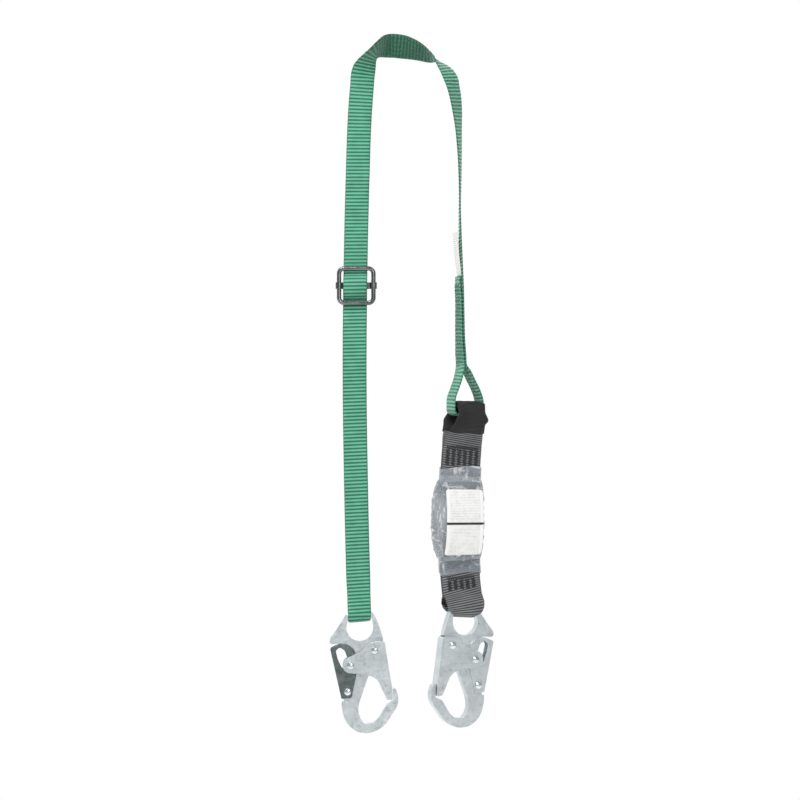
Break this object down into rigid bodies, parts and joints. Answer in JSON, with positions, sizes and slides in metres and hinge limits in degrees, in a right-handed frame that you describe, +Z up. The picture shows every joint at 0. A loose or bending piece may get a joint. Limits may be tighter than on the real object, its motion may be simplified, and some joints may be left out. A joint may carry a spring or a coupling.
{
  "type": "shock absorbing lanyard",
  "caption": "Adjustable green webbing fall arrest lanyard hanging from its crown, with locking steel snap hooks and a tear webbing energy absorber in a clear cover",
  "frame": {"origin": "lower edge of the webbing at the top of the crown, where the lanyard hangs", "axes": "+Z up along the hanging legs, +X from the adjuster leg to the absorber leg, -Y towards the viewer of the front"},
  "size_m": [0.1747, 0.0603, 0.7447],
  "materials": {
    "green_webbing": "ribbed polyester webbing, 25 mm",
    "green_thread": "bonded polyester sewing thread",
    "grey_webbing": "heavy grey webbing, 44 mm",
    "black_fabric": "black wear sleeve and liner",
    "black_thread": "black sewing thread",
    "clear_film": "clear shrink film",
    "white_label": "white printed label without lettering",
    "zinc_plated_steel": "satin zinc plated forged and pressed steel",
    "dark_plated_steel": "darker plated pressed steel",
    "spring_steel": "spring wire"
  },
  "bodies": {
    "root": {"main_webbing": "green_webbing", "crown_stitching": "green_thread", "splice_stitching": "green_thread", "adjuster_stitching": "green_thread", "id_tag": "white_label", "adjuster_crossbar": "zinc_plated_steel"},
    "adjuster": {"adjuster_frame": "zinc_plated_steel"},
    "absorber": {"absorber_top_loop": "grey_webbing", "absorber_bottom_loop": "grey_webbing", "tear_webbing": "grey_webbing", "wear_sleeve": "black_fabric", "lower_wear_liner": "black_fabric", "shrink_cover": "clear_film", "label_upper": "white_label", "label_lower": "white_label", "top_stitching": "black_thread", "bottom_stitching": "black_thread"},
    "left_hook": {"left_hook_body": "zinc_plated_steel", "left_gate_rivet": "zinc_plated_steel", "left_lock_rivet": "zinc_plated_steel"},
    "left_gate": {"left_gate": "zinc_plated_steel", "left_gate_pin": "zinc_plated_steel", "left_gate_spring": "spring_steel"},
    "left_lock": {"left_lock_lever": "dark_plated_steel", "left_lock_spring": "spring_steel"},
    "right_hook": {"right_hook_body": "zinc_plated_steel", "right_gate_rivet": "zinc_plated_steel", "right_lock_rivet": "zinc_plated_steel"},
    "right_gate": {"right_gate": "zinc_plated_steel", "right_gate_pin": "zinc_plated_steel", "right_gate_spring": "spring_steel"},
    "right_lock": {"right_lock_lever": "zinc_plated_steel", "right_lock_spring": "spring_steel"}
  },
  "joints": [
    {"name": "adjuster_slide", "type": "slide", "parent": "root", "child": "adjuster", "axis": [0, 0, 1], "range_m": [-0.002, 0.002]},
    {"name": "absorber_swing", "type": "hinge", "parent": "root", "child": "absorber", "pos_m": [0.0637, 0, -0.3843], "axis": [0.9397, 0.342, 0], "range_deg": [-12, 12]},
    {"name": "left_hook_swing", "type": "hinge", "parent": "root", "child": "left_hook", "pos_m": [-0.0483, 0, -0.593], "axis": [0.9962, 0, 0.0872], "range_deg": [-80, 80]},
    {"name": "left_gate_swing", "type": "hinge", "parent": "left_hook", "child": "left_gate", "pos_m": [-0.03221, 0, -0.63004], "axis": [0, 1, 0], "range_deg": [0, 22], "stiffness_Nm_per_rad": 0.12, "springref_deg": -28.65},
    {"name": "left_lock_squeeze", "type": "hinge", "parent": "left_hook", "child": "left_lock", "pos_m": [-0.06096, 0, -0.67431], "axis": [0, 1, 0], "range_deg": [0, 8], "stiffness_Nm_per_rad": 0.06, "springref_deg": -22.92},
    {"name": "right_hook_swing", "type": "hinge", "parent": "absorber", "child": "right_hook", "pos_m": [0.0623, 0, -0.5868], "axis": [-0.9379, -0.3414, 0.061], "range_deg": [-35, 35]},
    {"name": "right_gate_swing", "type": "hinge", "parent": "right_hook", "child": "right_gate", "pos_m": [0.0481, -0.00517, -0.62425], "axis": [0.342, -0.9397, 0], "range_deg": [0, 22], "stiffness_Nm_per_rad": 0.12, "springref_deg": -28.65},
    {"name": "right_lock_squeeze", "type": "hinge", "parent": "right_hook", "child": "right_lock", "pos_m": [0.07619, 0.00506, -0.66775], "axis": [0.342, -0.9397, 0], "range_deg": [0, 8], "stiffness_Nm_per_rad": 0.06, "springref_deg": -22.92}
  ],
  "couplings": [
    {"joint": "left_lock_squeeze", "follows": "left_gate_swing", "ratio": 0.36364},
    {"joint": "right_lock_squeeze", "follows": "right_gate_swing", "ratio": 0.36364}
  ]
}
